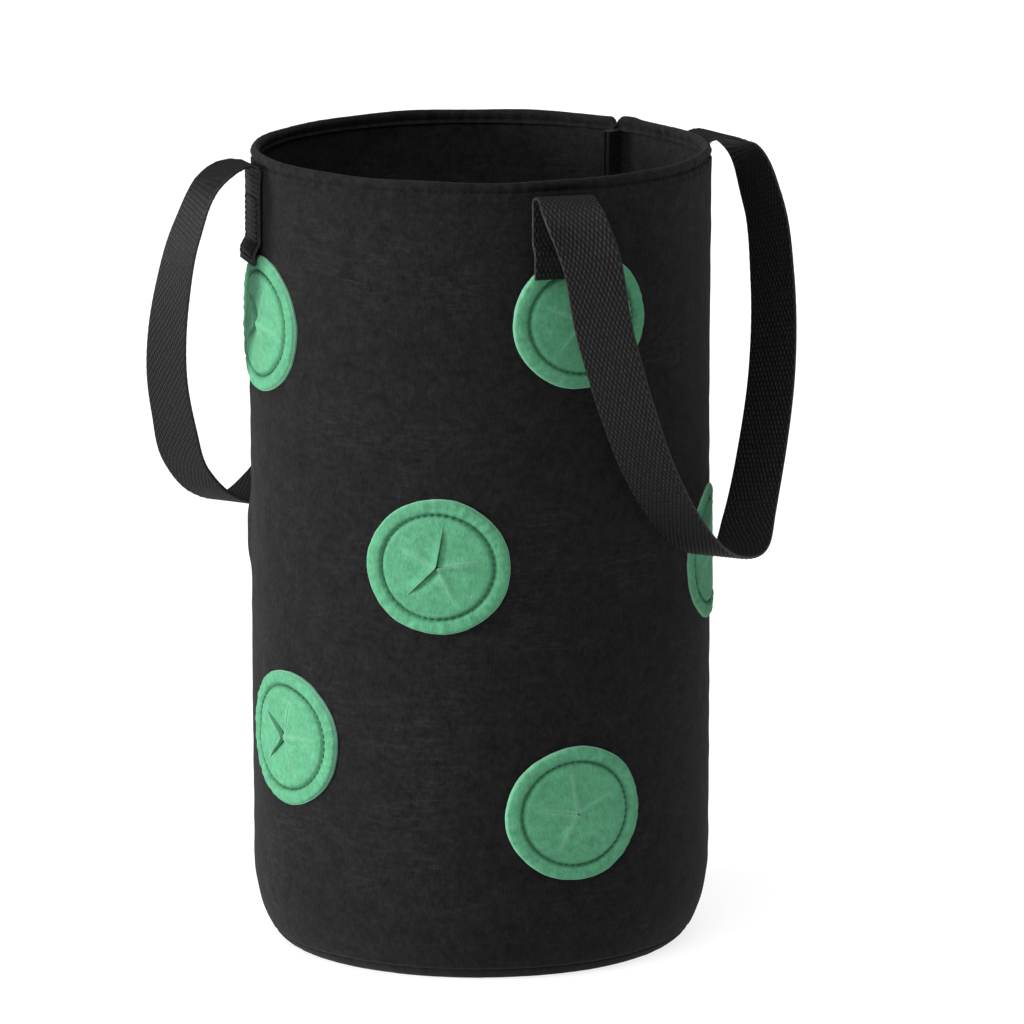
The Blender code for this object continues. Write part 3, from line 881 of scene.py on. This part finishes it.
def port_ring(name, azimuth, height, slit, wobble, random):
    """The sewn outer part of a port's disc, from the flaps' bases to the cut edge."""
    columns = 5 * SECTOR_STEPS
    direction = slit + np.arange(columns) * 2 * math.pi / columns
    within = (direction - slit) % SECTOR - SECTOR / 2
    inner = HINGE_DISTANCE / np.cos(within)
    cut = 1 / disc_share(np.cos(direction), np.sin(direction))
    cut = cut + 0.20 * MM * np.sin(3 * direction + random.uniform(0, 6))
    cut = cut + 0.13 * MM * np.sin(7 * direction + random.uniform(0, 6))
    cut = cut + 0.04 * MM * np.sin(23 * direction + random.uniform(0, 6))
    middle = STAR_RADIUS + 0.8 * MM
    rows = [inner + (middle - inner) * share for share in np.linspace(0, 1, 7)]
    rows += [middle + (cut - 1.5 * MM - middle) * share for share in np.linspace(0, 1, 26)[1:]]
    rows += [cut - back for back in np.array([1.0, 0.6, 0.3, 0.1, 0.0]) * MM]
    radius = np.stack(rows[::-1])
    x, y = radius * np.cos(direction), radius * np.sin(direction)
    lift = disc_top(x, y, wobble(x, y))
    lift = lift * felt_edge(cut[None, :] - radius)
    top = on_wall(azimuth, height, x, y, lift)
    bottom = on_wall(azimuth, height, x, y, DISC_UNDERSIDE)
    # A painted highlight along the disc's cut edge
    edge = bell(cut[None, :] - radius, 0.42 * MM)
    piece = slab(
        f"{name}_ring", top, bottom, GREEN_FELT, closed=True,
        cloth=cloth_place(x + azimuth, y + height), edge=edge.ravel(),
        # groove: painted shade in the ring of stitches
        groove=disc_groove(disc_share(x, y)).ravel(),
    )
    return part_of_bag(piece, name + "_disc")


def petal_shape(azimuth, height, slit, number, gapes, wobble):
    """The top, bottom, cloth places and painted highlight along the cut edges of one flap between
    two slits.
    """
    out = slit + SECTOR * (number + 0.5)
    away = np.array([math.cos(out), math.sin(out)])
    along = np.array([-away[1], away[0]])
    depth = np.linspace(0, HINGE_DISTANCE - 0.5 * MM, 22)
    share = depth / HINGE_DISTANCE
    column = np.tan(np.linspace(-SECTOR / 2, SECTOR / 2, SECTOR_STEPS + 1))
    column = column / math.tan(SECTOR / 2)
    slits = (number, (number + 1) % 5)
    widen = share**1.3
    full = (HINGE_DISTANCE - depth) * math.tan(SECTOR / 2)
    halves = []
    for slit_number in slits:
        gape = abs(gapes[slit_number])
        cut = 0.04 * MM * smooth_step(share * 6) + 0.16 * MM * gape * widen
        halves.append(np.maximum(full - cut / math.cos(SECTOR / 2), 0.05 * MM))
    sideways = np.where(column < 0, halves[0][:, None], halves[1][:, None]) * column[None, :]
    flat = away * (HINGE_DISTANCE - depth)[:, None, None] + along * sideways[..., None]
    x, y = flat[..., 0], flat[..., 1]
    lift = disc_top(x, y, wobble(x, y))
    # Beside a slit the cloth stands up in a ridge, or sinks where it lies under its neighbour
    risen = (smooth_step(share * 2.2) * (0.55 + 0.45 * share))[:, None]
    shift, edge = 0, 0
    for side, slit_number in zip((-1, 1), slits):
        from_cut = (full[:, None] - side * sideways) * math.cos(SECTOR / 2)
        gape = abs(gapes[slit_number])
        sunk = gapes[slit_number] * side > 0
        ridge = RIDGE * (1 - 0.4 * gape) * bell(from_cut, RIDGE_WIDTH)
        lean = LEAN * gape * bell(from_cut, LEAN_WIDTH)
        shift = shift + (ridge * (not sunk or gape < 0.3) - lean * (1.0 if sunk else -0.45))
        # A painted highlight along each slit's ridge, fainter where the slit gapes
        edge = edge + bell(from_cut, 0.95 * MM) * (0.6 - 0.55 * min(gape, 1.0))
    shift = shift * risen
    edge = np.clip(edge, 0, 1) * smooth_step(share * 9)[:, None]
    top = on_wall(azimuth, height, x, y, lift + shift)
    bottom = on_wall(azimuth, height, x, y, DISC_UNDERSIDE + shift)
    return top, bottom, cloth_place(x + azimuth, y + height), edge


def port(name, number_of_port):
    azimuth, height = port_place(name)
    slit_degrees, gapes = PORTS[name]
    slit = math.radians(slit_degrees)
    random = np.random.default_rng(PORT_SEED + number_of_port)
    wobble = disc_wobble(random, SETTLED.get(name, 0.0))
    ring = port_ring(name, azimuth, height, slit, wobble, random)
    for number in range(5):
        top, bottom, cloth, edge = petal_shape(azimuth, height, slit, number, gapes, wobble)
        # edge: the painted highlight along the flap's slits
        petal = slab(
            f"{name}_petal_{number + 1}", top, bottom, GREEN_FELT, cloth=cloth, edge=edge.ravel()
        )
        if name in HINGED_PORTS:
            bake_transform(petal)
            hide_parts(f"{name}_flap_{number + 1}")
        else:
            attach(petal, "bag")
    around = np.linspace(0, 2 * math.pi, 400)
    x = STITCH_SHARE * DISC_HALF_WIDTH * np.cos(around)
    y = STITCH_SHARE * DISC_HALF_HEIGHT * np.sin(around)
    line = on_wall(azimuth, height, x, y, disc_top(x, y, wobble(x, y)) + 0.1 * MM)
    pitch = 2 * math.pi * STITCH_SHARE * DISC_RADIUS / DISC_STITCHES
    thread = sewn(f"{name}_thread", line, pitch, DISC_STITCH_LENGTH, PORT_THREAD)


# ---- handles


def fold_line(tab):
    """The middle of the webbing from a tab's lower end, up and over its fold."""
    degrees, *sizes = TABS[tab]
    azimuth = math.radians(degrees)
    end, fold, lift, lowest, highest = np.array(sizes) * MM
    heights = np.linspace(end, fold, 18)
    radius = TAB_INNER_FACE + WEBBING / 2
    radius = radius + lift * smooth_step((highest - heights) / (highest - lowest))
    turns = np.radians([30, 60, 90])
    centre = TAB_INNER_FACE + WEBBING / 2 + FOLD_BEND
    radius = np.concatenate([radius, centre - FOLD_BEND * np.cos(turns)])
    heights = np.concatenate([heights, fold + FOLD_BEND * np.sin(turns)])
    return round_axis(radius, azimuth, heights)


def through(points, shares, step):
    """A smooth line through points, resampled at even steps, with shares carried along it."""
    lengths = np.concatenate([[0], np.cumsum(np.linalg.norm(np.diff(points, axis=0), axis=1))])
    slopes = np.gradient(points, lengths, axis=0)
    fine = np.linspace(0, lengths[-1], 6000)
    index = np.clip(np.searchsorted(lengths, fine, side="right") - 1, 0, len(points) - 2)
    gap = lengths[index + 1] - lengths[index]
    t = ((fine - lengths[index]) / gap)[:, None]
    gap = gap[:, None]
    line = (
        (1 + 2 * t) * (1 - t) ** 2 * points[index]
        + t * (1 - t) ** 2 * gap * slopes[index]
        + t * t * (3 - 2 * t) * points[index + 1]
        + t * t * (t - 1) * gap * slopes[index + 1]
    )
    share = np.interp(fine, lengths, shares)
    run = np.concatenate([[0], np.cumsum(np.linalg.norm(np.diff(line, axis=0), axis=1))])
    even = np.linspace(0, run[-1], round(run[-1] / step) + 1)
    return along_line(even, run, line), np.interp(even, run, share), even


def square_to(tangent, width):
    """Width directions made square to the line's direction."""
    return unit(width - tangent * (width * tangent).sum(axis=1, keepdims=True))


def strap_rows(tabs, route, middle, twist_power):
    """The middle line, width direction and face direction of a whole handle's webbing."""
    out = round_axis(1.0, middle, 0.0)
    along = np.array([math.cos(middle), math.sin(middle), 0])
    up = np.array([0, 0, 1])
    free = np.array([along * a + out * o + up * h for a, o, h in route[1:-1]])
    start, end = fold_line(tabs[0]), fold_line(tabs[1])[::-1]
    points = np.concatenate([start, free, end])
    inner = np.arange(1, len(route) - 1) / (len(route) - 1)
    shares = np.concatenate([np.zeros(len(start)), inner, np.ones(len(end))])
    line, share, run = through(points, shares, WEAVE_ALONG / SAMPLES_ALONG)
    folds = [math.radians(TABS[tab][0]) - middle for tab in tabs]
    most = np.where(share < 0.5, folds[0] + math.pi / 2, folds[1] - math.pi / 2)
    twist = 1 - (1 - np.abs(2 * share - 1)) ** twist_power
    turn = middle - math.pi / 2 + most * twist
    width = np.stack([np.cos(turn), np.sin(turn), 0 * turn], axis=-1)
    tangent = unit(np.gradient(line, axis=0))
    width = square_to(tangent, width)
    smooth = 41
    kernel = np.hanning(smooth + 2)[1:-1]
    kernel = kernel / kernel.sum()
    padded = np.pad(width, ((smooth // 2, smooth // 2), (0, 0)), mode="edge")
    width = np.stack([np.convolve(padded[:, k], kernel, "valid") for k in range(3)], axis=-1)
    width = square_to(tangent, width)
    return line, width, np.cross(width, tangent), run


def webbing_piece(name, line, width, face, run):
    """A length of woven webbing: raised yarns on both faces, and smooth rolled selvedges."""
    columns = round(WEBBING_WIDTH / WEAVE_ACROSS) * SAMPLES_ACROSS
    across = np.linspace(-1, 1, columns + 1)
    across = np.sign(across) * np.abs(across) ** 0.93 * WEBBING_WIDTH / 2
    inset = np.clip((np.abs(across) - WEBBING_WIDTH / 2 + SELVEDGE) / SELVEDGE, 0, 1)
    woven = 1 - smooth_step(inset * 1.3)
    half = WEBBING / 2 * np.sqrt(np.clip(1 - inset**2, 0.06, 1))
    wave = np.cos(2 * math.pi * across[None, :] / WEAVE_ACROSS) * np.cos(
        2 * math.pi * run[:, None] / WEAVE_ALONG
    )
    faces = []
    heights = []
    for sign in (1, -1):
        bump = np.sign(sign * wave) * np.abs(wave) ** 0.8
        height = half[None, :] + WEAVE_DEPTH / 2 * (bump * woven[None, :])
        points = (
            line[:, None, :]
            + width[:, None, :] * across[None, :, None]
            + face[:, None, :] * (sign * height)[..., None]
        )
        faces.append(points)
        # How high each place stands on the weave, with the selvedges set high: the colour paints a
        # highlight there and shade in the hollows
        heights.append((0.5 + 0.5 * bump) * woven[None, :] + 0.95 * (1 - woven[None, :]))
    rows, count = faces[0].shape[:2]
    size = rows * count
    quads = grid_quads(rows, count)
    left = np.arange(rows - 1) * count
    right = left + count - 1
    sides = [np.stack([left + count, left, left + size, left + count + size], axis=-1)]
    sides.append(np.stack([right, right + count, right + count + size, right + size], axis=-1))
    all_faces = np.concatenate([quads[:, ::-1], quads + size] + [s[:, ::-1] for s in sides])
    cloth = cloth_place(across[None, :], run[:, None] + 0 * across[None, :])
    return new_piece(
        name, np.concatenate([p.reshape(-1, 3) for p in faces]), all_faces.tolist(),
        BLACK_WEBBING, cloth=np.concatenate([cloth, cloth + [0.1, 0, 0]]),
        weave=np.concatenate([h.ravel() for h in heights]),
    )


def tab_stitches(name, line, width, face, run, flip):
    """A box of stitches that holds a tab to the wall."""
    lowest, highest = TAB_BOX
    inset = WEBBING_WIDTH / 2 - TAB_BOX_INSET
    box = [(-inset, lowest), (inset, lowest), (inset, highest), (-inset, highest)]
    box.append(box[0])
    corners = []
    for (x0, y0), (x1, y1) in zip(box, box[1:]):
        for share in np.linspace(0, 1, 40)[:-1]:
            corners.append((x0 + (x1 - x0) * share, y0 + (y1 - y0) * share))
    x, y = np.array(corners).T
    middle, sideways, outwards = [along_line(y, run, part) for part in (line, width, face)]
    lift = flip * (WEBBING / 2 + 0.12 * MM)
    points = middle + sideways * x[:, None] + outwards * lift
    return sewn(name, points, TAB_STITCH, TAB_STITCH_LENGTH, BLACK_THREAD)


def handle(side, route, middle, twist_power):
    body = side + "_handle"
    order = ("front", "rear") if side == "right" else ("rear", "front")
    tabs = [f"{body}_tab_{where}" for where in order]
    line, width, face, run = strap_rows(tabs, route, middle, twist_power)
    pieces = []
    radials = [round_axis(1.0, math.radians(TABS[tab][0]), 0.0) for tab in tabs]
    half = len(line) // 2
    reach = BEND_END + 0.5 * MM
    first = int(np.argmax(line[:half] @ radials[0] > reach))
    last = len(line) - 1 - int(np.argmax((line @ radials[1])[::-1][:half] > reach))
    cuts = (slice(0, first + 1), slice(last, len(line)))
    for tab, radial, cut, from_end in zip(tabs, radials, cuts, (False, True)):
        piece = webbing_piece(f"{tab}_strap", line[cut], width[cut], face[cut], run[cut])
        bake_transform(piece)
        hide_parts(tab)
        inwards = slice(None, None, -1) if from_end else slice(None)
        sewn_run = (run[-1] - run)[::-1] if from_end else run
        flip = np.sign((face[inwards][0] * radial).sum())
        thread = tab_stitches(
            f"{tab}_thread", line[inwards], width[inwards], face[inwards], sewn_run, flip
        )
        pieces += [piece, thread]
    cut = slice(first, last + 1)
    loop = webbing_piece(f"{body}_strap", line[cut], width[cut], face[cut], run[cut])
    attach(loop, body)
    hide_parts(f"{body}_loop")


# ---- studio


def studio():
    bpy.ops.mesh.primitive_plane_add(size=FLOOR_SIZE)
    floor = bpy.context.object
    floor.name = "floor"
    floor.data.materials.append(floor_material())
    world = bpy.data.worlds.new("studio")
    world.use_nodes = True
    sky = world.node_tree.nodes["Background"]
    sky.inputs["Color"].default_value = (1, 1, 1, 1)
    sky.inputs["Strength"].default_value = SKY_STRENGTH
    bpy.context.scene.world = world
    bpy.context.scene.view_settings.view_transform = "Standard"
    for name, (azimuth, elevation, spread, strength) in LIGHTS.items():
        data = bpy.data.lights.new(name, "SUN")
        data.angle = math.radians(spread)
        data.energy = strength
        lamp = bpy.data.objects.new(name, data)
        turn, rise = math.radians(azimuth), math.radians(elevation)
        level = math.cos(rise)
        away = Vector((level * math.sin(turn), -level * math.cos(turn), math.sin(rise)))
        lamp.rotation_euler = away.to_track_quat("Z", "Y").to_euler()
        bpy.context.scene.collection.objects.link(lamp)


def camera():
    data = bpy.data.cameras.new("camera")
    data.sensor_width = 36
    data.lens = CAMERA_LENS
    data.shift_x, data.shift_y = CAMERA_SHIFT
    eye = bpy.data.objects.new("camera", data)
    back = Vector((0, -math.cos(CAMERA_ELEVATION), math.sin(CAMERA_ELEVATION)))
    eye.location = LOOK_AT + back * CAMERA_DISTANCE
    eye.rotation_euler = (-back).to_track_quat("-Z", "Y").to_euler()
    bpy.context.scene.collection.objects.link(eye)
    bpy.context.scene.camera = eye


wall_piece = wall()
hem_piece = hem()
base_piece = base()
wall_seam()
base_seam()
for number, port_name in enumerate(PORTS):
    port(port_name, number)
handle("right", RIGHT_ROUTE, HANDLE_MIDDLE, RIGHT_TWIST)
handle("left", LEFT_ROUTE, HANDLE_MIDDLE + math.pi, LEFT_TWIST)
studio()
camera()
